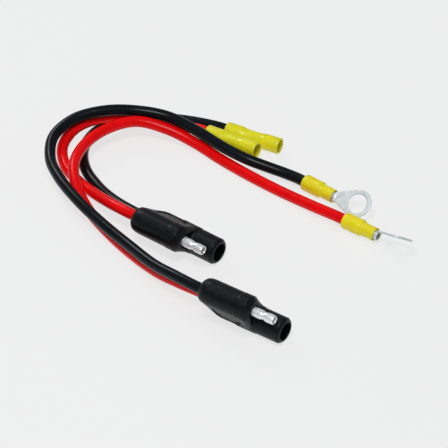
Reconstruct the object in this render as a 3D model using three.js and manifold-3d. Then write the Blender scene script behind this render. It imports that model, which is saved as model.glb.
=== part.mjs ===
// Two-pole solar / battery quick-disconnect leads: one lead ends in butt splices,
// the other in ring terminals. Millimetres, +Z up, +X is the way the upper plug mates.
import * as THREE from 'three';
import { mergeVertices } from 'three/addons/utils/BufferGeometryUtils.js';
import Module from 'manifold-3d';

const wasm = await Module();
wasm.setup();

// ---------------------------------------------------------------- driving dimensions
const WIRE_R = 2.35;            // jacket of a 12-10 gauge wire
const COPPER_R = 1.2;           // bared strand bundle
const GAP = 0.3;                // clearance between neighbouring pieces
const CHANNEL_R = WIRE_R + GAP;
const STRIP = 5.5;              // jacket hidden inside a sleeve

const POLE_PITCH = 9.5;         // socket axis to pin axis
const BODY_R = 5.6;             // moulding round either pole
const BODY_LENGTH = 37.5;       // wire end to shroud mouth
const SHOULDER = 25.5;          // face the bare pin stands out of
const SHOULDER_R = 3.9;
const CONE_START = 23.4;
const MOUTH_R = 4.75;           // chamfered rim of the shroud
const CHAMFER = 1.2;
const RECESS_R = 3.8;           // open mouth in front of the socket
const SOCKET_END = 32.0;
const SOCKET_R = 2.6;
const SOCKET_BORE_R = 2.1;
const PIN_R = 2.0;
const PIN_TIP = 35.5;
const CRIMP_START = 9.0;        // rear of both metal contacts
const ENTRY_PIN_Y = 7.9;        // the two wires enter side by side
const ENTRY_SOCKET_Y = 2.5;
const ENTRY_DEPTH = 5.0;
const GRIP = { x: 13.6, length: 14, width: 8.0, depth: 0.5 };

const BUTT = { length: 24.8, r: 3.45, waist: 3.0, bore: 2.65, barrelR: 2.35, barrelBore: 1.7 };
const RING = { length: 15.5, r: 3.5, neck: 2.9, bore: 2.65, frontBore: 2.45, barrelR: 2.15, barrelBore: 1.6 };
const TONGUE = { thick: 0.9, outer: 6.1, hole: 4.2, reach: 11.0, neck: 1.9 };

const SIDES = 28;               // facets of turned pieces
const WIRE_SIDES = 10;
const WIRE_STEP = 5.2;          // length of one straight piece of tube

const ORIGIN = [21.647, -1.519];   // layout point under the middle of the two plugs

// ---------------------------------------------------------------- where the pieces lie
// A plug is placed by its socket axis at the wire end, its heading and its roll about +X.
const PLUGS = {
  butt: { at: [-22.83, 12.63, 5.6], heading: 0.6, roll: 33.5 },
  ring: { at: [28.42, -11.6, 5.6], heading: 3.5, roll: 60 },
};
// A terminal is placed by its rear end, heading, pitch and roll (positive leans to the front).
// An eye's tongue is bent up by `bend` and turned in its own plane by `turn`.
const TERMINALS = {
  butt_red: { at: [-37.4, 71.8, 4.9], heading: 4.5, pitch: 3.4, roll: 0 },
  butt_black: { at: [-33.3, 79.5, 3.6], heading: 11.6, pitch: 0, roll: 0 },
  ring_red: { at: [41.8, 62.3, 4.3], heading: 1.2, pitch: 0, roll: -42, bend: 8.5, turn: -18 },
  ring_black: { at: [13.9, 71.9, 4.1], heading: -2.6, pitch: 2.2, roll: 34, bend: -4, turn: 8 },
};
// Free run of each wire from its plug towards its terminal.
const ROUTES = {
  butt_red: [[-36.5, 7.0, 9.0], [-49.0, 11.0, 5.6], [-61.0, 15.5, 2.8], [-72.5, 20.5, 2.6],
    [-80.5, 29.0, 4.0], [-81.5, 40.0, 6.3], [-74.5, 52.0, 7.4], [-64.5, 60.5, 4.8], [-53.5, 67.5, 3.6]],
  butt_black: [[-40.5, 13.0, 5.2], [-53.0, 18.0, 3.0], [-65.0, 24.5, 2.4], [-73.5, 34.0, 2.4],
    [-76.5, 46.0, 2.4], [-73.0, 58.0, 2.4], [-64.0, 67.5, 2.4], [-52.5, 74.0, 2.6], [-43.5, 77.0, 3.3]],
  ring_red: [[14.5, -13.0, 6.8], [2.0, -11.0, 4.3], [-12.5, -7.5, 2.7], [-28.5, -3.0, 2.4],
    [-45.5, 3.0, 3.5], [-57.5, 9.5, 6.3], [-66.0, 18.5, 8.0], [-70.5, 31.5, 8.2], [-69.0, 44.5, 8.8],
    [-62.5, 55.5, 8.8], [-51.0, 61.5, 6.6], [-38.0, 64.0, 4.0], [-24.0, 63.5, 2.6], [-8.0, 62.5, 2.5],
    [9.0, 62.2, 2.6], [26.0, 62.0, 3.6]],
  ring_black: [[15.0, -15.2, 11.8], [1.5, -13.0, 9.6], [-15.5, -8.0, 7.6], [-33.0, -3.5, 7.1],
    [-50.0, 1.3, 7.8], [-66.0, 8.2, 8.0], [-77.0, 16.3, 7.5], [-83.3, 26.5, 9.2], [-82.0, 38.5, 11.4],
    [-74.7, 49.5, 12.3], [-65.5, 58.8, 11.0], [-54.0, 65.0, 9.8], [-41.0, 66.3, 8.8], [-23.5, 66.0, 7.1],
    [-13.0, 67.0, 6.0], [-4.0, 69.5, 4.7], [3.0, 71.3, 4.0]],
};

// ---------------------------------------------------------------- small helpers
const rad = THREE.MathUtils.degToRad;
const vec = (p) => new THREE.Vector3(p[0], p[1], p[2]);

function toSolid(geometry) {
  const g = geometry.clone();
  g.deleteAttribute('normal');
  g.deleteAttribute('uv');
  const m = mergeVertices(g, 1e-4);
  return new wasm.Manifold(new wasm.Mesh({
    numProp: 3,
    vertProperties: new Float32Array(m.attributes.position.array),
    triVerts: new Uint32Array(m.index.array),
  }));
}

function fromSolid(solid) {
  const mesh = solid.getMesh();
  const g = new THREE.BufferGeometry();
  g.setAttribute('position', new THREE.BufferAttribute(new Float32Array(mesh.vertProperties), 3));
  g.setIndex(new THREE.BufferAttribute(new Uint32Array(mesh.triVerts), 1));
  return g;
}

// A piece turned about the X axis. The profile is a list of [x, radius] whose outer wall
// runs from the front end to the rear end.
function turned(profile, sides = SIDES) {
  const points = profile.map(([x, r]) => new THREE.Vector2(r, x)).reverse();
  return new THREE.LatheGeometry(points, sides).rotateZ(-Math.PI / 2);
}

const rod = (x0, x1, r, sides) => turned([[x1, 0], [x1, r], [x0, r], [x0, 0]], sides);

// Local frame of a plug: x along the plug, y from the socket to the pin.
function plugMatrix({ at, heading, roll }) {
  const along = new THREE.Vector3(Math.cos(rad(heading)), Math.sin(rad(heading)), 0);
  const front = new THREE.Vector3(along.y, -along.x, 0);
  const toPin = front.multiplyScalar(Math.cos(rad(roll))).add(new THREE.Vector3(0, 0, Math.sin(rad(roll))));
  const across = new THREE.Vector3().crossVectors(along, toPin);
  return new THREE.Matrix4().makeBasis(along, toPin, across).setPosition(vec(at));
}

// Local frame of a terminal: x towards its open end, z on the side the tongue sits.
function terminalMatrix({ at, heading, pitch, roll }) {
  const turn = new THREE.Matrix4().makeRotationZ(rad(heading));
  const lift = new THREE.Matrix4().makeRotationY(-rad(pitch));
  const lean = new THREE.Matrix4().makeRotationX(rad(roll));
  return turn.multiply(lift).multiply(lean).setPosition(vec(at));
}

function tube(points, radius, sides, steps) {
  const section = new THREE.Shape();
  for (let i = 0; i < sides; i += 1) {
    const a = (2 * Math.PI * i) / sides;
    section[i ? 'lineTo' : 'moveTo'](radius * Math.cos(a), radius * Math.sin(a));
  }
  section.closePath();
  const path = new THREE.CatmullRomCurve3(points, false, 'centripetal');
  const count = steps || Math.round(path.getLength() / WIRE_STEP);
  return new THREE.ExtrudeGeometry(section, { steps: count, bevelEnabled: false, extrudePath: path });
}

// ---------------------------------------------------------------- plug mouldings
// One cross-section of the flat-oval body: a round at the pin side, one at the socket side.
function ovalRing([x, pinY, pinR, socketY, socketR], half) {
  const ring = [];
  for (let i = 0; i <= half; i += 1) {
    const a = (Math.PI * i) / half;
    ring.push([x, pinY + pinR * Math.sin(a), -pinR * Math.cos(a)]);
  }
  for (let i = 0; i <= half; i += 1) {
    const a = (Math.PI * i) / half;
    ring.push([x, socketY - socketR * Math.sin(a), socketR * Math.cos(a)]);
  }
  return ring;
}

function loft(rings) {
  const n = rings[0].length;
  const position = rings.flat(2);
  const index = [];
  for (let k = 0; k + 1 < rings.length; k += 1) {
    for (let i = 0; i < n; i += 1) {
      const a = k * n + i;
      const b = k * n + ((i + 1) % n);
      index.push(a, b, b + n, a, b + n, a + n);
    }
  }
  const last = (rings.length - 1) * n;
  for (let i = 1; i + 1 < n; i += 1) {
    index.push(0, i + 1, i, last, last + i, last + i + 1);
  }
  const g = new THREE.BufferGeometry();
  g.setAttribute('position', new THREE.Float32BufferAttribute(position, 3));
  g.setIndex(index);
  return g;
}

function bodyBlock() {
  const sections = [
    [0.0, 8.4, 3.6, 2.0, 3.2], [0.6, 8.8, 4.3, 1.9, 3.6], [1.6, 9.2, 5.0, 1.7, 4.0],
    [3.0, 9.5, 5.4, 1.3, 4.4], [5.0, 9.5, BODY_R, 0.7, 4.9], [7.0, 9.5, BODY_R, 0.2, 5.4],
    [9.0, 9.5, BODY_R, 0.0, BODY_R], [CONE_START, 9.5, BODY_R, 0.0, BODY_R],
    [24.5, 8.4, 5.0, 0.0, BODY_R], [SHOULDER, 7.6, 4.4, 0.0, BODY_R],
  ];
  const flatOval = sections.map((s) => ovalRing(s, 12));
  const cone = turned([[SHOULDER, 0], [SHOULDER, SHOULDER_R], [CONE_START, BODY_R],
    [CONE_START - 4, BODY_R], [CONE_START - 4, 0]]).translate(0, POLE_PITCH, 0);
  const shroud = turned([[BODY_LENGTH, 0], [BODY_LENGTH, MOUTH_R], [BODY_LENGTH - CHAMFER, BODY_R],
    [CONE_START - 6, BODY_R], [CONE_START - 6, 0]]);
  return toSolid(loft(flatOval)).add(toSolid(cone)).add(toSolid(shroud));
}

// Shallow oval finger recess on one broad face.
function gripPocket(side) {
  const straight = (GRIP.length - GRIP.width) / 2;
  const outline = new THREE.Shape();
  outline.absarc(GRIP.x + straight, POLE_PITCH / 2, GRIP.width / 2, -Math.PI / 2, Math.PI / 2, false);
  outline.absarc(GRIP.x - straight, POLE_PITCH / 2, GRIP.width / 2, Math.PI / 2, 1.5 * Math.PI, false);
  const g = new THREE.ExtrudeGeometry(outline, { depth: 3, bevelEnabled: false, curveSegments: 10 });
  return g.translate(0, 0, side > 0 ? BODY_R - GRIP.depth : GRIP.depth - BODY_R - 3);
}

function plugBody() {
  const cuts = [
    rod(-1, ENTRY_DEPTH + 3.5, CHANNEL_R).translate(0, ENTRY_PIN_Y, 0),
    rod(-1, ENTRY_DEPTH + 3.5, CHANNEL_R).translate(0, ENTRY_SOCKET_Y, 0),
    rod(ENTRY_DEPTH + 1, SHOULDER + 1, PIN_R + GAP).translate(0, POLE_PITCH, 0),
    rod(ENTRY_DEPTH + 1, SOCKET_END + 1, SOCKET_R + GAP),
    rod(SOCKET_END + 0.2, BODY_LENGTH + 1, RECESS_R),
    gripPocket(1),
    gripPocket(-1),
  ];
  return fromSolid(cuts.reduce((solid, cut) => solid.subtract(toSolid(cut)), bodyBlock()));
}

// Bullet pin: crimp barrel at the back, waisted stud with a hollow tip at the front.
function bulletPin() {
  const bore = PIN_TIP - 3.6;
  return turned([
    [bore, 0], [bore, 1.3], [PIN_TIP, 1.35], [PIN_TIP, 1.6], [PIN_TIP - 0.5, 1.92],
    [PIN_TIP - 3.6, PIN_R], [PIN_TIP - 4.4, 1.55], [PIN_TIP - 5.2, 1.55], [PIN_TIP - 6.0, PIN_R],
    [CRIMP_START, PIN_R], [CRIMP_START, 1.5], [CRIMP_START + 5.5, 1.5], [CRIMP_START + 5.5, 0],
  ]).translate(0, POLE_PITCH, 0);
}

// Socket: the same crimp barrel, bored at the front for the other plug's pin.
function socketBarrel() {
  return turned([
    [20, 0], [20, SOCKET_BORE_R], [SOCKET_END - 0.4, SOCKET_BORE_R], [SOCKET_END, 2.35],
    [SOCKET_END, SOCKET_R], [16.4, SOCKET_R], [15.8, 2.1], [CRIMP_START, 2.1],
    [CRIMP_START, 1.5], [CRIMP_START + 5.5, 1.5], [CRIMP_START + 5.5, 0],
  ]);
}

// Strands stepping from a wire's entry over to its contact's axis.
function strandsInPlug(entryY, poleY) {
  const x0 = ENTRY_DEPTH + GAP;
  const path = [[x0, entryY, 0], [x0 + 1.2, entryY + 0.1 * (poleY - entryY), 0],
    [x0 + 2.6, poleY - 0.2 * (poleY - entryY), 0], [CRIMP_START + 0.4, poleY, 0],
    [CRIMP_START + 4.6, poleY, 0]];
  return tube(path.map(vec), COPPER_R, 8, 10);
}

// ---------------------------------------------------------------- butt splices
function buttSleeve() {
  const { length, r, waist, bore } = BUTT;
  const profile = [[length, bore], [length, r - 0.15], [length - 0.4, r], [length - 7.2, r],
    [length - 9.0, waist], [9.0, waist], [7.2, r], [0.4, r], [0, r - 0.15], [0, bore]];
  return turned([...profile, profile[0]]);
}

function buttBarrel() {
  const { barrelR, barrelBore, length } = BUTT;
  const mid = length / 2;
  const profile = [[length - 6, barrelBore], [length - 6, barrelR], [6.0, barrelR], [6.0, barrelBore],
    [mid - 0.4, barrelBore], [mid - 0.4, 0.8], [mid + 0.4, 0.8], [mid + 0.4, barrelBore]];
  return turned([...profile, profile[0]]);
}

// ---------------------------------------------------------------- ring terminals
function ringSleeve() {
  const { length, r, neck, bore, frontBore } = RING;
  const profile = [[length, frontBore], [length, neck - 0.1], [length - 0.3, neck], [9.8, neck],
    [8.6, r], [0.4, r], [0, r - 0.15], [0, r - 0.4], [1.6, bore], [6.0, bore], [6.2, frontBore]];
  return turned([...profile, profile[0]]);
}

// Flat outline of the tongue: straight flanks that run tangent into the round eye.
function tongueShape() {
  const { outer, hole, reach, neck } = TONGUE;
  const join = Math.atan2(neck, reach) + Math.acos(outer / Math.hypot(reach, neck));
  const outline = new THREE.Shape();
  outline.moveTo(0, neck);
  outline.lineTo(0, -neck);
  outline.absarc(reach, 0, outer, Math.PI + join, 3 * Math.PI - join, false);
  const eye = new THREE.Path();
  eye.absarc(reach, 0, hole, 0, 2 * Math.PI, true);
  outline.holes.push(eye);
  return outline;
}

// Crimp barrel whose top wall runs out into a flat eye, bent up and turned sideways a little.
function ringTerminal({ bend, turn }) {
  const { barrelR, barrelBore, length } = RING;
  const profile = [[length + 1.4, barrelBore], [length + 1.4, barrelR], [6.5, barrelR], [6.5, barrelBore]];
  const barrel = turned([...profile, profile[0]]);
  const tongue = new THREE.ExtrudeGeometry(tongueShape(), { depth: TONGUE.thick, bevelEnabled: false,
    curveSegments: 36 });
  tongue.translate(0, 0, -TONGUE.thick).rotateZ(rad(turn)).rotateY(-rad(bend));
  tongue.translate(length + 1, 0, barrelR - 0.02);
  return fromSolid(toSolid(barrel).add(toSolid(tongue)));
}

// ---------------------------------------------------------------- wires
function wirePath(lead, colour, entryY) {
  const plug = plugMatrix(PLUGS[lead]);
  const key = `${lead}_${colour}`;
  const terminal = terminalMatrix(TERMINALS[key]);
  const inPlug = [ENTRY_DEPTH, 0, -4].map((x) => new THREE.Vector3(x, entryY, 0).applyMatrix4(plug));
  const inSleeve = [-4, 0, STRIP].map((x) => new THREE.Vector3(x, 0, 0).applyMatrix4(terminal));
  return [...inPlug, ...ROUTES[key].map(vec), ...inSleeve];
}

// ---------------------------------------------------------------- assembly
const PAINT = {
  moulding: [0x14171b, 0.55, 0.0],
  red_jacket: [0xe3000f, 0.3, 0.0],
  black_jacket: [0x14181e, 0.35, 0.0],
  nickel: [0xd9dcdd, 0.2, 1.0],
  tin: [0xc4cacb, 0.35, 1.0],
  copper: [0xb8683a, 0.4, 1.0],
  butt_yellow: [0xdcd70f, 0.4, 0.0],
  ring_yellow: [0xebd714, 0.4, 0.0],
};

const part = new THREE.Group();
part.name = 'solar_cable_connector';

function add(name, geometry, paint, matrix) {
  const [color, roughness, metalness] = PAINT[paint];
  if (matrix) geometry.applyMatrix4(matrix);
  geometry.translate(-ORIGIN[0], -ORIGIN[1], 0);
  const mesh = new THREE.Mesh(geometry, new THREE.MeshStandardMaterial({ color, roughness, metalness }));
  mesh.name = name;
  part.add(mesh);
}

function addLead(lead, pinColour) {
  const socketColour = pinColour === 'red' ? 'black' : 'red';
  const place = plugMatrix(PLUGS[lead]);
  add(`${lead}_lead_plug_body`, plugBody(), 'moulding', place);
  add(`${lead}_lead_bullet_pin`, bulletPin(), 'nickel', place);
  add(`${lead}_lead_socket_barrel`, socketBarrel(), 'nickel', place);
  const entries = [[pinColour, ENTRY_PIN_Y, POLE_PITCH], [socketColour, ENTRY_SOCKET_Y, 0]];
  for (const [colour, entryY, poleY] of entries) {
    const key = `${lead}_${colour}`;
    const jacket = tube(wirePath(lead, colour, entryY), WIRE_R, WIRE_SIDES);
    const seat = terminalMatrix(TERMINALS[key]);
    const isButt = lead === 'butt';
    const shell = isButt ? BUTT : RING;
    const copperEnd = isButt ? BUTT.length / 2 - 0.8 : shell.length - 0.6;
    add(`${lead}_lead_${colour}_plug_strands`, strandsInPlug(entryY, poleY), 'copper', place);
    add(`${lead}_lead_${colour}_wire`, jacket, `${colour}_jacket`);
    add(`${lead}_lead_${colour}_end_strands`, rod(STRIP + GAP, copperEnd, COPPER_R, 8), 'copper', seat);
    add(`${lead}_lead_${colour}_sleeve`, isButt ? buttSleeve() : ringSleeve(), `${lead}_yellow`, seat);
    add(`${lead}_lead_${colour}_${isButt ? 'splice_barrel' : 'ring_terminal'}`,
      isButt ? buttBarrel() : ringTerminal(TERMINALS[key]), 'tin', seat);
  }
}

addLead('butt', 'red');
addLead('ring', 'black');

export default part;
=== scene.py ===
from math import cos, radians, sin, tau

import bpy
import numpy as np
from mathutils import Matrix, Vector


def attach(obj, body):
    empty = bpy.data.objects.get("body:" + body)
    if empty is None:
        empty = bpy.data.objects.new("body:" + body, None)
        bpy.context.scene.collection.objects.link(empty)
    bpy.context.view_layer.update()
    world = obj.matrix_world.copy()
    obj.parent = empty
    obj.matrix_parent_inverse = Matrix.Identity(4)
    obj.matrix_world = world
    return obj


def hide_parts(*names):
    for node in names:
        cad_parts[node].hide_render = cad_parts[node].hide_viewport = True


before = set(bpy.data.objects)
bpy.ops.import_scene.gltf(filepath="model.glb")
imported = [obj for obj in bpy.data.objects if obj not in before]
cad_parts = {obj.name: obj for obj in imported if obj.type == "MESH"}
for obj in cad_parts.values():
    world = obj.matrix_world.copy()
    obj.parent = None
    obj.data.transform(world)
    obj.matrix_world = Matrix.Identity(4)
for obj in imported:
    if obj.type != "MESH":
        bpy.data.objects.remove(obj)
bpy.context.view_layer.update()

# Lengths below are in millimetres unless a name ends in _M; objects are made in metres.
MM = 0.001

# ---------------------------------------------------------------- camera
AZIMUTH, ELEVATION = 38.0, 40.0
CAMERA_DISTANCE_M = 2.5
CAMERA_TARGET_M = (-0.020712, 0.035268, 0.0)
CAMERA_LENS, CAMERA_SENSOR = 488.0, 36.0
CAMERA_CLIP_M = (0.1, 20.0)


def towards_from_front(azimuth, elevation):
    """Unit vector at an azimuth to the right of the front, and an elevation, in degrees."""
    a, e = radians(azimuth), radians(elevation)
    return Vector((sin(a) * cos(e), -cos(a) * cos(e), sin(e)))


def add_camera():
    data = bpy.data.cameras.new("camera")
    data.lens, data.sensor_width = CAMERA_LENS, CAMERA_SENSOR
    data.clip_start, data.clip_end = CAMERA_CLIP_M
    cam = bpy.data.objects.new("camera", data)
    bpy.context.scene.collection.objects.link(cam)
    away = towards_from_front(AZIMUTH, ELEVATION)
    cam.location = Vector(CAMERA_TARGET_M) + away * CAMERA_DISTANCE_M
    cam.rotation_euler = (-away).to_track_quat("-Z", "Y").to_euler()
    bpy.context.scene.camera = cam


add_camera()

# ---------------------------------------------------------------- sizes shared with the CAD
WIRE_R = 2.35
POLE_PITCH = 9.5
BODY_R = 5.6
BODY_LENGTH = 37.5
SHOULDER, SHOULDER_R = 25.5, 3.9      # where the pin leaves the body
CONE_START = 23.4
MOUTH_R, CHAMFER = 4.75, 1.2          # rim of the shroud
RECESS_R = 3.8
SOCKET_END, SOCKET_R = 32.0, 2.6
PIN_R = 2.0
ENTRY_PIN_Y, ENTRY_SOCKET_Y, ENTRY_DEPTH = 7.9, 2.5, 5.0
CRIMP_START = 9.0
STRIP = 5.5                           # jacket hidden inside a sleeve
LEAD_IN = 4.0                         # straight run of wire outside a plug or a sleeve
GRIP_X, GRIP_HALF_FLAT, GRIP_HALF_WIDTH = 13.6, 3.0, 4.0
BUTT_LENGTH = 24.8
ORIGIN = Vector((21.647, -1.519, 0.0))
PLUGS = {
    "butt": dict(at=(-22.83, 12.63, 5.6), heading=0.6, roll=33.5),
    "ring": dict(at=(28.42, -11.6, 5.6), heading=3.5, roll=60.0),
}
TERMINALS = {
    "butt_red": dict(at=(-37.4, 71.8, 4.9), heading=4.5, pitch=3.4, roll=0.0),
    "butt_black": dict(at=(-33.3, 79.5, 3.6), heading=11.6, pitch=0.0, roll=0.0),
    "ring_red": dict(at=(41.8, 62.3, 4.3), heading=1.2, pitch=0.0, roll=-42.0),
    "ring_black": dict(at=(13.9, 71.9, 4.1), heading=-2.6, pitch=2.2, roll=34.0),
}
# How far each eye's tongue is bent up, and turned in its own plane.
TONGUE_SET = {"red": (8.5, -18.0), "black": (-4.0, 8.0)}
# Free run of each wire from its plug towards its terminal, as in the CAD.
ROUTES = {
    "butt_red": (
        (-36.5, 7.0, 9.0), (-49.0, 11.0, 5.6), (-61.0, 15.5, 2.8), (-72.5, 20.5, 2.6),
        (-80.5, 29.0, 4.0), (-81.5, 40.0, 6.3), (-74.5, 52.0, 7.4), (-64.5, 60.5, 4.8),
        (-53.5, 67.5, 3.6),
    ),
    "butt_black": (
        (-40.5, 13.0, 5.2), (-53.0, 18.0, 3.0), (-65.0, 24.5, 2.4), (-73.5, 34.0, 2.4),
        (-76.5, 46.0, 2.4), (-73.0, 58.0, 2.4), (-64.0, 67.5, 2.4), (-52.5, 74.0, 2.6),
        (-43.5, 77.0, 3.3),
    ),
    "ring_red": (
        (14.5, -13.0, 6.8), (2.0, -11.0, 4.3), (-12.5, -7.5, 2.7), (-28.5, -3.0, 2.4),
        (-45.5, 3.0, 3.5), (-57.5, 9.5, 6.3), (-66.0, 18.5, 8.0), (-70.5, 31.5, 8.2),
        (-69.0, 44.5, 8.8), (-62.5, 55.5, 8.8), (-51.0, 61.5, 6.6), (-38.0, 64.0, 4.0),
        (-24.0, 63.5, 2.6), (-8.0, 62.5, 2.5), (9.0, 62.2, 2.6), (26.0, 62.0, 3.6),
    ),
    "ring_black": (
        (15.0, -15.2, 11.8), (1.5, -13.0, 9.6), (-15.5, -8.0, 7.6), (-33.0, -3.5, 7.1),
        (-50.0, 1.3, 7.8), (-66.0, 8.2, 8.0), (-77.0, 16.3, 7.5), (-83.3, 26.5, 9.2),
        (-82.0, 38.5, 11.4), (-74.7, 49.5, 12.3), (-65.5, 58.8, 11.0), (-54.0, 65.0, 9.8),
        (-41.0, 66.3, 8.8), (-23.5, 66.0, 7.1), (-13.0, 67.0, 6.0), (-4.0, 69.5, 4.7),
        (3.0, 71.3, 4.0),
    ),
}


def plug_matrix(at, heading, roll):
    """Plug frame: x along the plug, y from the socket to the pin."""
    along = Vector((cos(radians(heading)), sin(radians(heading)), 0))
    front = Vector((along.y, -along.x, 0))
    to_pin = front * cos(radians(roll)) + Vector((0, 0, sin(radians(roll))))
    across = along.cross(to_pin)
    place = Matrix((along, to_pin, across)).transposed().to_4x4()
    place.translation = Vector(at) - ORIGIN
    return place


def terminal_matrix(at, heading, pitch, roll):
    """Terminal frame: x towards the open end, z on the side the tongue sits."""
    place = (Matrix.Rotation(radians(heading), 4, "Z") @ Matrix.Rotation(-radians(pitch), 4, "Y")
             @ Matrix.Rotation(radians(roll), 4, "X"))
    place.translation = Vector(at) - ORIGIN
    return place


def metres(place):
    """The same frame with its place in metres, for an object whose mesh is in metres."""
    out = place.copy()
    out.translation = place.translation * MM
    return out


def mesh_object(name, verts, faces, place, smooth_angle=None):
    """Object from vertices in millimetres; faces as an array of quads, or as a list."""
    mesh = bpy.data.meshes.new(name)
    verts = np.asarray(verts) * MM
    if isinstance(faces, np.ndarray):
        mesh.vertices.add(len(verts))
        mesh.vertices.foreach_set("co", verts.ravel())
        mesh.loops.add(faces.size)
        mesh.loops.foreach_set("vertex_index", faces.ravel())
        mesh.polygons.add(len(faces))
        mesh.polygons.foreach_set("loop_start", np.arange(0, faces.size, faces.shape[1]))
        mesh.update(calc_edges=True)
    else:
        mesh.from_pydata(verts.tolist(), [], faces)
    mesh.validate()
    mesh.shade_smooth()
    if smooth_angle:
        mesh.set_sharp_from_angle(angle=radians(smooth_angle))
    obj = bpy.data.objects.new(name, mesh)
    bpy.context.scene.collection.objects.link(obj)
    obj.matrix_world = metres(place)
    return obj


# ---------------------------------------------------------------- wires
CURVE_STEPS = 14
WIRE_SIDES = 28


def smooth_path(points, steps=CURVE_STEPS):
    """Centripetal Catmull-Rom curve through the points."""
    pts = [np.array(p, float) for p in points]
    pts = [2 * pts[0] - pts[1], *pts, 2 * pts[-1] - pts[-2]]
    out = []
    for p0, p1, p2, p3 in zip(pts, pts[1:], pts[2:], pts[3:]):
        t1 = np.linalg.norm(p1 - p0) ** 0.5
        t2 = t1 + np.linalg.norm(p2 - p1) ** 0.5
        t3 = t2 + np.linalg.norm(p3 - p2) ** 0.5
        for t in np.linspace(t1, t2, steps, endpoint=False):
            a1 = (t1 - t) / t1 * p0 + t / t1 * p1
            a2 = (t2 - t) / (t2 - t1) * p1 + (t - t1) / (t2 - t1) * p2
            a3 = (t3 - t) / (t3 - t2) * p2 + (t - t2) / (t3 - t2) * p3
            b1 = (t2 - t) / t2 * a1 + t / t2 * a2
            b2 = (t3 - t) / (t3 - t1) * a2 + (t - t1) / (t3 - t1) * a3
            out.append((t2 - t) / (t2 - t1) * b1 + (t - t1) / (t2 - t1) * b2)
    out.append(pts[-2])
    return np.array(out)


def wire_points(lead, colour, entry_y):
    """Knots of a wire from inside its plug, along its free run, into its terminal."""
    plug = plug_matrix(**PLUGS[lead])
    seat = terminal_matrix(**TERMINALS[f"{lead}_{colour}"])
    start = [plug @ Vector((x, entry_y, 0)) for x in (ENTRY_DEPTH, 0, -LEAD_IN)]
    route = [Vector(p) - ORIGIN for p in ROUTES[f"{lead}_{colour}"]]
    end = [seat @ Vector((x, 0, 0)) for x in (-LEAD_IN, 0, STRIP)]
    return [*start, *route, *end]


def path_sides(path):
    """Two directions square to the path at each of its points: level, and upwards."""
    along = np.gradient(path, axis=0)
    along /= np.linalg.norm(along, axis=1)[:, None]
    side = np.cross(along, (0.0, 0.0, 1.0))
    side /= np.linalg.norm(side, axis=1)[:, None]
    return side, np.cross(side, along)


def tube_mesh(path, side, up, radius, sides, first=0):
    """Verts and faces of a closed round tube; first is the number of its first vertex."""
    angle = np.linspace(0, tau, sides, endpoint=False)[None, :, None]
    ring = np.cos(angle) * side[:, None] + np.sin(angle) * up[:, None]
    verts = (path[:, None] + radius * ring).reshape(-1, 3)
    faces = [tuple(first + j for j in range(sides))]
    for i in range(first, first + (len(path) - 1) * sides, sides):
        for j in range(sides):
            a, b = i + j, i + (j + 1) % sides
            faces.append((a, a + sides, b + sides, b))
    last = first + (len(path) - 1) * sides
    faces.append(tuple(last + j for j in reversed(range(sides))))
    return verts, faces


def add_wire(lead, colour, entry_y):
    path = smooth_path(wire_points(lead, colour, entry_y))
    verts, faces = tube_mesh(path, *path_sides(path), WIRE_R, WIRE_SIDES)
    wire = mesh_object(f"{lead}_{colour}_jacket", verts, faces, Matrix.Identity(4), 50)
    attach(wire, f"{lead}_lead")
    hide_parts(f"{lead}_lead_{colour}_wire")
    return wire, path


PIN_COLOUR = {"butt": "red", "ring": "black"}
ENTRIES = {}  # (lead, colour): y of the wire's entry, y of the contact that it feeds
for lead, pin_colour in PIN_COLOUR.items():
    other = "black" if pin_colour == "red" else "red"
    ENTRIES[lead, pin_colour] = (ENTRY_PIN_Y, POLE_PITCH)
    ENTRIES[lead, other] = (ENTRY_SOCKET_Y, 0.0)
WIRES = {key: add_wire(*key, entry_y) for key, (entry_y, _) in ENTRIES.items()}


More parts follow.
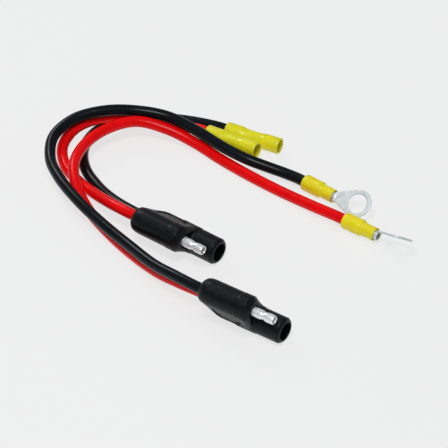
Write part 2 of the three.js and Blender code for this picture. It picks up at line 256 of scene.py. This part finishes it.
# ---------------------------------------------------------------- materials
class Nodes:
    """Short-hand for building one node material."""

    def __init__(self, name):
        self.mat = bpy.data.materials.new(name)
        self.mat.use_nodes = True
        self.tree = self.mat.node_tree
        self.shader = self.tree.nodes["Principled BSDF"]
        coords = self.tree.nodes.new("ShaderNodeTexCoord")
        self.coords = coords.outputs["Object"]

    def set(self, **values):
        for name, value in values.items():
            self.shader.inputs[name.replace("_", " ")].default_value = value

    def node(self, kind, inputs=(), **props):
        n = self.tree.nodes.new(kind)
        for key, value in props.items():
            setattr(n, key, value)
        for name, value in dict(inputs).items():
            if isinstance(value, bpy.types.NodeSocket):
                self.tree.links.new(value, n.inputs[name])
            else:
                n.inputs[name].default_value = value
        return n

    def stretch(self, scale):
        return self.node("ShaderNodeMapping", {"Vector": self.coords, "Scale": scale}).outputs[0]

    def noise(self, scale, detail=3.0, rough=0.55, vector=None):
        return self.node("ShaderNodeTexNoise", {
            "Vector": vector or self.coords, "Scale": scale, "Detail": detail, "Roughness": rough,
        }).outputs["Fac"]

    def ramp(self, fac, stops):
        n = self.node("ShaderNodeValToRGB", {"Fac": fac})
        ramp = n.color_ramp
        while len(ramp.elements) < len(stops):
            ramp.elements.new(0.5)
        for element, (at, colour) in zip(ramp.elements, stops):
            element.position, element.color = at, (*colour, 1.0)
        return n.outputs["Color"]

    def span(self, fac, low, high, start=0.3, end=0.7):
        return self.node("ShaderNodeMapRange", {
            "Value": fac, "From Min": start, "From Max": end, "To Min": low, "To Max": high,
        }).outputs["Result"]

    def mix(self, fac, a, b):
        n = self.node("ShaderNodeMix", data_type="RGBA")
        sockets = {"Factor": n.inputs[0], "A": n.inputs[6], "B": n.inputs[7]}
        for key, value in (("Factor", fac), ("A", a), ("B", b)):
            if isinstance(value, bpy.types.NodeSocket):
                self.tree.links.new(value, sockets[key])
            else:
                sockets[key].default_value = value if key == "Factor" else (*value, 1.0)
        return n.outputs[2]

    def bump(self, height, strength, distance_mm, normal=None):
        inputs = {"Height": height, "Strength": strength, "Distance": distance_mm * MM}
        if normal:
            inputs["Normal"] = normal
        return self.node("ShaderNodeBump", inputs).outputs["Normal"]

    def plug(self, socket, name):
        self.tree.links.new(socket, self.shader.inputs[name])


def jacket_material(name, deep, bright, dust, low_rough, high_rough):
    """Extruded PVC: faint cloudiness, fine drag marks, uneven gloss."""
    n = Nodes(name)
    cloud = n.noise(90.0, 4.0)
    fine = n.noise(2600.0, 2.0)
    scuff = n.noise(420.0, 6.0, 0.7)
    base = n.ramp(cloud, [(0.3, deep), (0.7, bright)])
    n.plug(n.mix(n.span(scuff, 0.0, 0.1, 0.6, 0.85), base, dust), "Base Color")
    n.plug(n.span(scuff, low_rough, high_rough), "Roughness")
    n.plug(n.bump(fine, 0.025, 0.01, n.bump(cloud, 0.1, 0.2)), "Normal")
    n.set(IOR=1.45, Specular_IOR_Level=0.18)
    return n.mat


def moulding_material():
    """Satin over-moulding with spark-eroded texture and handling marks."""
    n = Nodes("moulded_pvc")
    grain = n.noise(1900.0, 3.0, 0.6)
    cloud = n.noise(140.0, 4.0)
    scuff = n.noise(520.0, 7.0, 0.75)
    base = n.ramp(cloud, [(0.3, (0.0014, 0.0024, 0.0036)), (0.7, (0.0028, 0.0046, 0.0068))])
    n.plug(n.mix(n.span(scuff, 0.0, 0.18, 0.58, 0.8), base, (0.02, 0.028, 0.036)), "Base Color")
    n.plug(n.span(scuff, 0.3, 0.48), "Roughness")
    n.plug(n.bump(grain, 0.14, 0.025, n.bump(cloud, 0.15, 0.2)), "Normal")
    n.set(IOR=1.45, Specular_IOR_Level=0.22)
    return n.mat


def sleeve_material(name, shade, light, edge):
    """Nylon-like insulation: slightly translucent, with faint crimp-tool marks."""
    n = Nodes(name)
    cloud = n.noise(160.0, 4.0)
    streak = n.noise(60.0, 4.0, 0.6, n.stretch((1.0, 9.0, 9.0)))
    fine = n.noise(1500.0, 3.0)
    base = n.ramp(cloud, [(0.25, shade), (0.75, light)])
    n.plug(n.mix(n.span(streak, 0.0, 0.35, 0.5, 0.8), base, edge), "Base Color")
    n.plug(n.span(streak, 0.22, 0.36), "Roughness")
    n.plug(n.bump(fine, 0.15, 0.03, n.bump(streak, 0.2, 0.12)), "Normal")
    n.set(IOR=1.5, Specular_IOR_Level=0.42, Subsurface_Weight=0.12, Subsurface_Scale=0.0015)
    return n.mat


def metal_material(name, dark, light, low_rough, high_rough, turned, metallic):
    """Plated metal. A turned piece has fine rings around x, a pressed one has streaks along x."""
    n = Nodes(name)
    lines = n.noise(70.0, 3.0, 0.6, n.stretch((40.0, 1.0, 1.0) if turned else (1.5, 26.0, 26.0)))
    cloud = n.noise(420.0, 5.0, 0.65)
    speck = n.noise(2400.0, 4.0, 0.7)
    base = n.ramp(cloud, [(0.3, dark), (0.7, light)])
    n.plug(n.mix(n.span(speck, 0.0, 0.25, 0.6, 0.75), base, dark), "Base Color")
    n.plug(n.span(cloud, low_rough, high_rough), "Roughness")
    n.plug(n.bump(lines, 0.1, 0.015), "Normal")
    n.set(Metallic=metallic)
    return n.mat


def copper_material():
    n = Nodes("bare_copper")
    cloud = n.noise(900.0, 5.0, 0.7)
    base = n.ramp(cloud, [(0.25, (0.36, 0.13, 0.05)), (0.6, (0.78, 0.36, 0.18)),
                          (0.85, (0.9, 0.5, 0.3))])
    n.plug(base, "Base Color")
    n.plug(n.span(cloud, 0.42, 0.24), "Roughness")
    n.plug(n.bump(cloud, 0.1, 0.02), "Normal")
    n.set(Metallic=1.0)
    return n.mat


MATERIALS = {
    "red_jacket": jacket_material("red_pvc", (0.68, 0.0003, 0.0008), (0.86, 0.0006, 0.0022),
                                  (0.8, 0.012, 0.012), 0.2, 0.32),
    "black_jacket": jacket_material("black_pvc", (0.0018, 0.003, 0.0045), (0.0035, 0.0056, 0.0085),
                                    (0.03, 0.04, 0.05), 0.2, 0.32),
    "moulding": moulding_material(),
    "butt_yellow": sleeve_material("lemon_insulation", (0.66, 0.62, 0.006), (0.78, 0.72, 0.008),
                                   (0.84, 0.66, 0.01)),
    "ring_yellow": sleeve_material("yellow_insulation", (0.72, 0.62, 0.005), (0.84, 0.72, 0.007),
                                   (0.88, 0.6, 0.01)),
    "nickel": metal_material("bright_nickel", (0.78, 0.81, 0.82), (0.95, 0.97, 0.97),
                             0.24, 0.38, True, 0.55),
    "tin": metal_material("tin_plate", (0.56, 0.61, 0.61), (0.7, 0.75, 0.75),
                          0.38, 0.54, False, 0.45),
    "copper": copper_material(),
}


def dress(obj, slot):
    obj.data.materials.clear()
    obj.data.materials.append(MATERIALS[slot])


for (lead, colour), (wire, _) in WIRES.items():
    dress(wire, f"{colour}_jacket")


# ---------------------------------------------------------------- shapes from distance fields
def grid_surface(field, low, high, step):
    """Vertices and quads of the zero surface of field(x, y, z) inside a box."""
    axes = [np.arange(a, b + step, step) for a, b in zip(low, high)]
    value = field(*np.meshgrid(*axes, indexing="ij"))
    inside = value < 0
    cells = tuple(n - 1 for n in value.shape)
    total = np.zeros((*cells, 3))
    count = np.zeros(cells)
    quads = []
    for axis in range(3):
        u, v = (axis + 1) % 3, (axis + 2) % 3
        first = [slice(None)] * 3
        second = [slice(None)] * 3
        first[axis], second[axis] = slice(0, -1), slice(1, None)
        a, b = value[tuple(first)], value[tuple(second)]
        crossing = (a < 0) != (b < 0)
        where = np.argwhere(crossing)
        share = (a / np.where(crossing, a - b, 1.0))[crossing]
        point = where.astype(float)
        point[:, axis] += share
        ring = []
        for du, dv in ((0, 0), (-1, 0), (-1, -1), (0, -1)):
            cell = where.copy()
            cell[:, u] += du
            cell[:, v] += dv
            ring.append(cell)
        safe = np.all([(c >= 0).all(1) & (c < cells).all(1) for c in ring], axis=0)
        starts_inside = inside[tuple(first)][crossing]
        for cell in ring:
            key = tuple(cell[safe].T)
            np.add.at(total, key, point[safe])
            np.add.at(count, key, 1)
        ids = np.stack([np.ravel_multi_index(tuple(c[safe].T), cells) for c in ring], axis=1)
        ids[~starts_inside[safe]] = ids[~starts_inside[safe]][:, ::-1]
        quads.append(ids)
    quads = np.concatenate(quads)
    used, quads = np.unique(quads, return_inverse=True)
    quads = quads.reshape(-1, 4)
    place = (total.reshape(-1, 3)[used] / count.reshape(-1)[used][:, None]) * step + np.array(low)
    return pull_to_surface(field, place, step), quads


def pull_to_surface(field, points, step, rounds=2):
    """Move the points along the field's slope, onto its zero surface."""
    h = step * 0.25
    for _ in range(rounds):
        x, y, z = points.T
        d = field(x, y, z)
        slope = np.stack([field(x + h, y, z) - field(x - h, y, z),
                          field(x, y + h, z) - field(x, y - h, z),
                          field(x, y, z + h) - field(x, y, z - h)], axis=1) / (2 * h)
        size = np.maximum((slope ** 2).sum(1), 0.25)
        move = slope * (d / size)[:, None]
        points = points - np.clip(move, -0.5 * step, 0.5 * step)
    return points


def soft_min(a, b, k):
    """Union of two distances, blended over a width of about k."""
    h = np.clip(0.5 + 0.5 * (b - a) / k, 0, 1)
    return b + (a - b) * h - k * h * (1 - h)


def soft_max(a, b, k):
    return -soft_min(-a, -b, k)


def round_bar(x, y, z, x0, x1, radius, edge=0.3):
    """Bar along x with softened end edges; radius may be an array over x."""
    side = np.hypot(y, z) - radius
    ends = np.maximum(x0 - x, x - x1)
    return soft_max(side, ends, edge)


def finish_piece(obj, body, slot, *nodes):
    """Say what the piece rides on, which CAD nodes it replaces and what it is made of."""
    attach(obj, body)
    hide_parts(*nodes)
    dress(obj, slot)
    return obj


# ---------------------------------------------------------------- plug moulding
def table(x, rows):
    """Value at x from rows of (x, value), straight between them."""
    at, value = zip(*rows)
    return np.interp(x, at, value)


WIRE_PLAY, PIN_PLAY, SOCKET_PLAY = 0.06, 0.12, 0.15
PARTING_HEIGHT, PARTING_WIDTH = 0.05, 0.22


def plug_field(x, y, z):
    """Over-moulded flat-oval body, shroud and pin shoulder, with the openings cut in."""
    pin_y = table(x, [(0, 8.4), (0.6, 8.8), (1.6, 9.2), (3, POLE_PITCH), (CONE_START, POLE_PITCH),
                      (24.5, 8.4), (SHOULDER, 7.6)])
    pin_r = table(x, [(0, 3.6), (0.6, 4.3), (1.6, 5.0), (3, 5.4), (5, BODY_R), (CONE_START, BODY_R),
                      (24.5, 5.0), (SHOULDER, 4.4)])
    low_y = table(x, [(0, 2.0), (0.6, 1.9), (1.6, 1.7), (3, 1.3), (5, 0.7), (7, 0.2), (9, 0)])
    low_r = table(x, [(0, 3.2), (0.6, 3.6), (1.6, 4.0), (3, 4.4), (5, 4.9), (7, 5.4), (9, BODY_R)])
    t = np.clip((y - low_y) / np.maximum(pin_y - low_y, 1), 0, 1)
    oval = np.hypot(y - (low_y + t * (pin_y - low_y)), z) - (low_r + t * (pin_r - low_r))
    body = soft_max(oval, np.maximum(-x, x - SHOULDER), 0.7)
    cone_r = table(x, [(CONE_START, BODY_R), (SHOULDER, SHOULDER_R)])
    cone = round_bar(x, y - POLE_PITCH, z, 19, SHOULDER, cone_r, 0.7)
    shroud_r = table(x, [(BODY_LENGTH - CHAMFER, BODY_R), (BODY_LENGTH, MOUTH_R)])
    shroud = round_bar(x, y, z, 17, BODY_LENGTH, shroud_r, 0.6)
    solid = soft_min(soft_min(body, cone, 0.5), shroud, 0.9)
    solid = soft_max(solid, -grip_pocket(x, y, z), 0.35)
    parting_line = PARTING_HEIGHT * np.exp(-((z / PARTING_WIDTH) ** 2))
    solid = solid - parting_line * (x < BODY_LENGTH - 1.5)
    holes = [
        round_bar(x, y - ENTRY_PIN_Y, z, -2, 8, WIRE_R + WIRE_PLAY, 0.1),
        round_bar(x, y - ENTRY_SOCKET_Y, z, -2, 8, WIRE_R + WIRE_PLAY, 0.1),
        round_bar(x, y - POLE_PITCH, z, 6, 28, PIN_R + PIN_PLAY, 0.1),
        round_bar(x, y, z, 6, SOCKET_END + 1, SOCKET_R + SOCKET_PLAY, 0.1),
        round_bar(x, y, z, SOCKET_END + 0.2, 40, RECESS_R, 0.2),
    ]
    for hole in holes:
        solid = soft_max(solid, -hole, 0.25)
    return solid


def grip_pocket(x, y, z):
    """Shallow oval finger recess on both broad faces, deepest at its two ends."""
    along = np.maximum(np.abs(x - GRIP_X) - GRIP_HALF_FLAT, 0)
    oval = np.hypot(along, y - POLE_PITCH / 2) - GRIP_HALF_WIDTH
    to_end = np.abs(x - GRIP_X) / (GRIP_HALF_FLAT + GRIP_HALF_WIDTH)
    depth = 0.22 + 0.4 * np.clip(to_end, 0, 1) ** 2
    return soft_max(oval, (BODY_R - depth) - np.abs(z), 0.3)


PLUG_GRID = 0.22
PLUG_BOX = (-0.8, -6.5, -6.5), (38.4, 16.0, 6.5)
PLUG_SURFACE = grid_surface(plug_field, *PLUG_BOX, PLUG_GRID)


def add_plug_body(lead):
    obj = mesh_object(f"{lead}_plug_moulding", *PLUG_SURFACE, plug_matrix(**PLUGS[lead]))
    return finish_piece(obj, f"{lead}_lead", "moulding", f"{lead}_lead_plug_body")


# ---------------------------------------------------------------- turned metal
def turned_mesh(profile, sides=72, shape=None):
    """Verts and faces of a closed profile of (x, radius) turned about x.

    shape(x, r, angle) gives the radius after local dents. An end on the axis closes in one point.
    """
    rows, faces, start = [], [], []
    for x, r in profile:
        start.append(len(rows))
        if r == 0:
            rows.append((x, 0, 0))
            continue
        for i in range(sides):
            a = tau * i / sides
            q = shape(x, r, a) if shape else r
            rows.append((x, q * cos(a), q * sin(a)))
    for k in range(len(profile) - 1):
        a, b = start[k], start[k + 1]
        for i in range(sides):
            j = (i + 1) % sides
            if profile[k][1] == 0:
                faces.append((a, b + i, b + j))
            elif profile[k + 1][1] == 0:
                faces.append((a + i, b, a + j))
            else:
                faces.append((a + i, b + i, b + j, a + j))
    if profile[0][1] != 0:
        a, b = start[-1], start[0]
        for i in range(sides):
            j = (i + 1) % sides
            faces.append((a + i, b + i, b + j, a + j))
    return rows, faces


def dense(profile, step):
    """The profile with no straight longer than step."""
    out = [profile[0]]
    for (x0, r0), (x1, r1) in zip(profile, profile[1:]):
        n = max(1, int(np.hypot(x1 - x0, r1 - r0) / step))
        out += [(x0 + (x1 - x0) * i / n, r0 + (r1 - r0) * i / n) for i in range(1, n + 1)]
    return out


PIN_PROFILE = [
    (29.0, 0), (29.0, 1.2), (32.0, 1.25), (34.8, 1.46), (35.3, 1.52), (35.46, 1.62), (35.5, 1.72),
    (35.42, 1.83), (35.2, 1.92), (34.8, 1.98), (34.3, PIN_R), (32.1, PIN_R), (31.8, 1.95),
    (31.45, 1.82), (31.1, 1.68), (30.7, 1.64), (30.3, 1.67), (29.95, 1.78), (29.6, 1.92),
    (29.3, 1.99), (28.9, PIN_R), (26.0, PIN_R), (14.9, PIN_R), (14.5, 1.9),
    (CRIMP_START, 1.95), (CRIMP_START, 1.5), (14.5, 1.5), (14.5, 0),
]


STUD_START = 26.0


def pin_dents(x, r, a):
    """A rolled seam and two small locking dimples on the bare stud."""
    if r < 1.5 or x < STUD_START:
        return r
    seam = 0.1 * np.exp(-(((a - 4.4) / 0.045) ** 2))
    dimple = 0.0
    for at, turn in ((27.6, 2.3), (33.4, 2.0)):
        across = (a - turn) * r
        dimple += 0.22 * np.exp(-((x - at) ** 2 + across ** 2) / 0.12)
    return r - seam - dimple


def add_bullet_pin(lead):
    verts, faces = turned_mesh(dense(PIN_PROFILE, 0.3), 96, pin_dents)
    verts = [(x, y + POLE_PITCH, z) for x, y, z in verts]
    obj = mesh_object(f"{lead}_bullet_pin", verts, faces, plug_matrix(**PLUGS[lead]), 40)
    return finish_piece(obj, f"{lead}_lead", "nickel", f"{lead}_lead_bullet_pin")


SOCKET_PROFILE = [
    (20, 0), (20, 2.1), (31.2, 2.05), (31.7, 2.15), (31.95, 2.35), (SOCKET_END, 2.5), (31.85, SOCKET_R),
    (30.2, SOCKET_R), (29.9, 2.5), (29.6, SOCKET_R), (16.4, SOCKET_R), (15.8, 2.1), (CRIMP_START, 2.05),
    (CRIMP_START, 1.5), (14.5, 1.5), (14.5, 0),
]


def socket_slits(x, r, a):
    """Spring slit along the top of the socket, drawn as a fine groove."""
    return r - 0.12 * np.exp(-(((a - 1.2) / 0.05) ** 2)) if r > 2.4 and x > 20 else r


def add_socket(lead):
    verts, faces = turned_mesh(dense(SOCKET_PROFILE, 0.6), 72, socket_slits)
    obj = mesh_object(f"{lead}_socket", verts, faces, plug_matrix(**PLUGS[lead]), 40)
    return finish_piece(obj, f"{lead}_lead", "nickel", f"{lead}_lead_socket_barrel")


# ---------------------------------------------------------------- strands
STRAND_R = 0.215
STRAND_RINGS = ((1, 0.0), (6, 0.44), (12, 0.86))  # strands in each layer, and its radius
STRAND_SIDES = 8
LAY_LENGTH = 16.0  # one full twist
END_STRANDS = {"butt": BUTT_LENGTH / 2 - 0.8, "ring": 14.9}  # how far in the bared ends reach


def strand_bundle(path, name, place):
    """Nineteen twisted strands that follow a path of (x, y, z) points."""
    path = np.array(path, float)
    side, up = path_sides(path)
    run = np.r_[0, np.cumsum(np.linalg.norm(np.diff(path, axis=0), axis=1))]
    verts, faces = [], []
    for number, ring_r in STRAND_RINGS:
        for k in range(number):
            twist = (tau * k / number + tau * run / LAY_LENGTH)[:, None]
            middle = path + ring_r * (np.cos(twist) * side + np.sin(twist) * up)
            strand, skin = tube_mesh(middle, side, up, STRAND_R, STRAND_SIDES, len(verts))
            verts.extend(strand)
            faces.extend(skin)
    return mesh_object(name, verts, faces, place, 50)


def add_plug_strands(lead, colour, entry_y, pole_y):
    x0, shift = ENTRY_DEPTH + 0.3, pole_y - entry_y
    knots = [(x0, entry_y, 0), (x0 + 1.2, entry_y + 0.1 * shift, 0), (x0 + 2.6, pole_y - 0.2 * shift, 0),
             (CRIMP_START + 0.4, pole_y, 0), (CRIMP_START + 4.6, pole_y, 0)]
    name = f"{lead}_{colour}_plug_copper"
    obj = strand_bundle(smooth_path(knots, 5), name, plug_matrix(**PLUGS[lead]))
    return finish_piece(obj, f"{lead}_lead", "copper", f"{lead}_lead_{colour}_plug_strands")


def add_end_strands(lead, colour, end_x):
    path = [(x, 0, 0) for x in np.linspace(STRIP + 0.3, end_x, 12)]
    place = terminal_matrix(**TERMINALS[f"{lead}_{colour}"])
    obj = strand_bundle(path, f"{lead}_{colour}_end_copper", place)
    return finish_piece(obj, f"{lead}_lead", "copper", f"{lead}_lead_{colour}_end_strands")


# ---------------------------------------------------------------- insulated terminals
BUTT_SLEEVE = [
    (BUTT_LENGTH - 0.35, 2.66), (BUTT_LENGTH - 0.08, 2.78), (BUTT_LENGTH, 3.0),
    (BUTT_LENGTH - 0.06, 3.24), (BUTT_LENGTH - 0.3, 3.41), (24.0, 3.45), (18.4, 3.45), (17.6, 3.41), (16.9, 3.22), (16.2, 3.06),
    (15.5, 3.0), (9.3, 3.0), (8.6, 3.06), (7.9, 3.22), (7.2, 3.41), (6.4, 3.45), (0.8, 3.45),
    (0.3, 3.41), (0.06, 3.24), (0.0, 3.0), (0.08, 2.78), (0.35, 2.66),
]
RING_SLEEVE = [
    (15.2, 2.46), (15.45, 2.56), (15.5, 2.68), (15.4, 2.82), (15.1, 2.9), (10.0, 2.9), (9.5, 2.94),
    (9.1, 3.12), (8.8, 3.38), (8.4, 3.5), (0.9, 3.5), (0.4, 3.47), (0.1, 3.34), (0.0, 3.2),
    (0.1, 3.08), (0.5, 2.98), (1.8, 2.66), (6.0, 2.66), (6.3, 2.46),
]


def sleeve_dents(centres, depth, seed):
    """Soft crimp dents and a slightly uneven heat-shrunk wall."""
    rng = np.random.default_rng(seed)
    phase = rng.uniform(0, tau, 4)

    def shape(x, r, a):
        if r < 2.8:
            return r
        wall = 0.03 * sin(3 * a + phase[0] + 0.4 * x) + 0.02 * sin(2 * a - 0.7 * x + phase[1])
        dent = sum(depth * np.exp(-(((x - at) / 1.3) ** 2)) * max(0.0, cos(a - turn)) ** 6
                   for at, turn in centres)
        return r - abs(wall) - dent
    return shape


def add_sleeve(lead, colour, seed):
    is_butt = lead == "butt"
    profile = dense(BUTT_SLEEVE if is_butt else RING_SLEEVE, 0.4)
    dents = [(10.2, 1.5)] if is_butt else [(12.4, 1.6), (12.4, -1.6)]
    verts, faces = turned_mesh(profile, 80, sleeve_dents(dents, 0.16 if is_butt else 0.12, seed))
    place = terminal_matrix(**TERMINALS[f"{lead}_{colour}"])
    obj = mesh_object(f"{lead}_{colour}_insulation", verts, faces, place, 60)
    return finish_piece(obj, f"{lead}_lead", f"{lead}_yellow", f"{lead}_lead_{colour}_sleeve")


BUTT_BARREL = [
    (18.6, 1.7), (18.78, 1.85), (18.8, 2.1), (18.65, 2.32), (18.3, 2.35), (6.5, 2.35), (6.1, 2.3),
    (6.0, 2.1), (6.05, 1.8), (6.3, 1.7), (12.0, 1.7), (12.1, 0.8), (12.7, 0.8), (12.8, 1.7),
]


def barrel_seam(x, r, a):
    """Butted seam along the rolled barrel."""
    return r - 0.12 * np.exp(-(((a - 1.0) / 0.05) ** 2)) if r > 1.9 else r


def add_splice_barrel(colour):
    verts, faces = turned_mesh(dense(BUTT_BARREL, 0.5), 64, barrel_seam)
    place = terminal_matrix(**TERMINALS[f"butt_{colour}"])
    obj = mesh_object(f"butt_{colour}_splice_barrel", verts, faces, place, 40)
    return finish_piece(obj, "butt_lead", "tin", f"butt_lead_{colour}_splice_barrel")


RING_BARREL, RING_BARREL_R, RING_BARREL_BORE = (6.5, 16.9), 2.15, 1.6
TONGUE_ROOT_X, TONGUE_TOP, TONGUE_THICK = 16.5, 2.13, 0.9
TONGUE_REACH, TONGUE_NECK, EYE_R, HOLE_R = 11.0, 1.9, 6.1, 4.2


def eye_outline(u, v):
    """Distance to the flat tongue: straight flanks that run tangent into the round eye."""
    eye = np.hypot(u - TONGUE_REACH, v) - EYE_R
    far = np.hypot(TONGUE_REACH, TONGUE_NECK)
    join = np.arctan2(TONGUE_NECK, TONGUE_REACH) + np.arccos(EYE_R / far)
    flank = (TONGUE_REACH - u) * np.cos(join) + np.abs(v) * np.sin(join) - EYE_R
    root_side = TONGUE_REACH - EYE_R * np.cos(join)
    neck = np.maximum(flank, np.maximum(-u, u - root_side))
    return soft_min(eye, neck, 0.25)


def ring_field(bend_degrees, turn_degrees):
    """Rolled barrel whose top wall flattens and widens into a pressed eye."""
    bend, turn = radians(bend_degrees), radians(turn_degrees)

    def field(x, y, z):
        shell = round_bar(x, y, z, *RING_BARREL, RING_BARREL_R, 0.2)
        barrel = soft_max(shell, -round_bar(x, y, z, 5, 18, RING_BARREL_BORE, 0.05), 0.15)
        dx, dz = x - TONGUE_ROOT_X, z - TONGUE_TOP
        level = dx * cos(bend) + dz * sin(bend)
        w = -dx * sin(bend) + dz * cos(bend)
        u = level * cos(turn) + y * sin(turn)
        v = -level * sin(turn) + y * cos(turn)
        outline = soft_max(eye_outline(u, v), HOLE_R - np.hypot(u - TONGUE_REACH, v), 0.05)
        slab = np.abs(w + TONGUE_THICK / 2) - TONGUE_THICK / 2
        return soft_min(barrel, soft_max(outline, slab, 0.4), 0.45)
    return field


RING_GRID = 0.13
RING_BOX = (6.0, -9.5, -3.4), (34.2, 9.5, 6.8)


def add_ring_terminal(colour):
    place = terminal_matrix(**TERMINALS[f"ring_{colour}"])
    surface = grid_surface(ring_field(*TONGUE_SET[colour]), *RING_BOX, RING_GRID)
    obj = mesh_object(f"ring_{colour}_eye_terminal", *surface, place)
    return finish_piece(obj, "ring_lead", "tin", f"ring_lead_{colour}_ring_terminal")


# ---------------------------------------------------------------- assembly
for lead in PLUGS:
    add_plug_body(lead)
    add_bullet_pin(lead)
    add_socket(lead)

for seed, ((lead, colour), (wire, path)) in enumerate(WIRES.items()):
    entry_y, pole_y = ENTRIES[lead, colour]
    add_plug_strands(lead, colour, entry_y, pole_y)
    metal = add_splice_barrel(colour) if lead == "butt" else add_ring_terminal(colour)
    on_wire = [add_sleeve(lead, colour, seed), metal,
               add_end_strands(lead, colour, END_STRANDS[lead])]
    leaves = plug_matrix(**PLUGS[lead]) @ Vector((0, entry_y, 0))


# ---------------------------------------------------------------- studio
FLOOR_SIZE_M = 6.0
FLOOR_GLOW = 0.73
WORLD_COLOUR, WORLD_STRENGTH = (0.9, 0.95, 1.0, 1.0), 0.3
# Name, azimuth, elevation, distance and diameter in metres, and power.
LIGHTS = (
    ("key", 20.0, 68.0, 1.3, 0.45, 10.0),
    ("side", 250.0, 40.0, 1.3, 0.45, 4.0),
)


def add_floor():
    bpy.ops.mesh.primitive_plane_add(size=FLOOR_SIZE_M, location=(0, 0, 0))
    floor = bpy.context.object
    floor.name = "floor"
    n = Nodes("pale_floor")
    cloud = n.noise(3.0, 2.0)
    n.plug(n.ramp(cloud, [(0.3, (0.13, 0.13, 0.13)), (0.7, (0.135, 0.135, 0.135))]), "Base Color")
    n.set(Roughness=0.95, Specular_IOR_Level=0.0, Emission_Color=(1.0, 1.0, 1.0, 1.0),
          Emission_Strength=FLOOR_GLOW)
    floor.data.materials.append(n.mat)


def add_light(name, azimuth, elevation, away_m, size_m, power):
    data = bpy.data.lights.new(name, "AREA")
    data.shape, data.size, data.energy = "DISK", size_m, power
    light = bpy.data.objects.new(name, data)
    towards = towards_from_front(azimuth, elevation)
    light.location = Vector(CAMERA_TARGET_M) + towards * away_m
    light.rotation_euler = towards.to_track_quat("Z", "Y").to_euler()
    bpy.context.scene.collection.objects.link(light)


def add_world():
    world = bpy.data.worlds.new("studio")
    bpy.context.scene.world = world
    world.use_nodes = True
    background = world.node_tree.nodes["Background"]
    background.inputs["Color"].default_value = WORLD_COLOUR
    background.inputs["Strength"].default_value = WORLD_STRENGTH


bpy.context.scene.view_settings.view_transform = "Standard"
add_floor()
add_world()
for light in LIGHTS:
    add_light(*light)
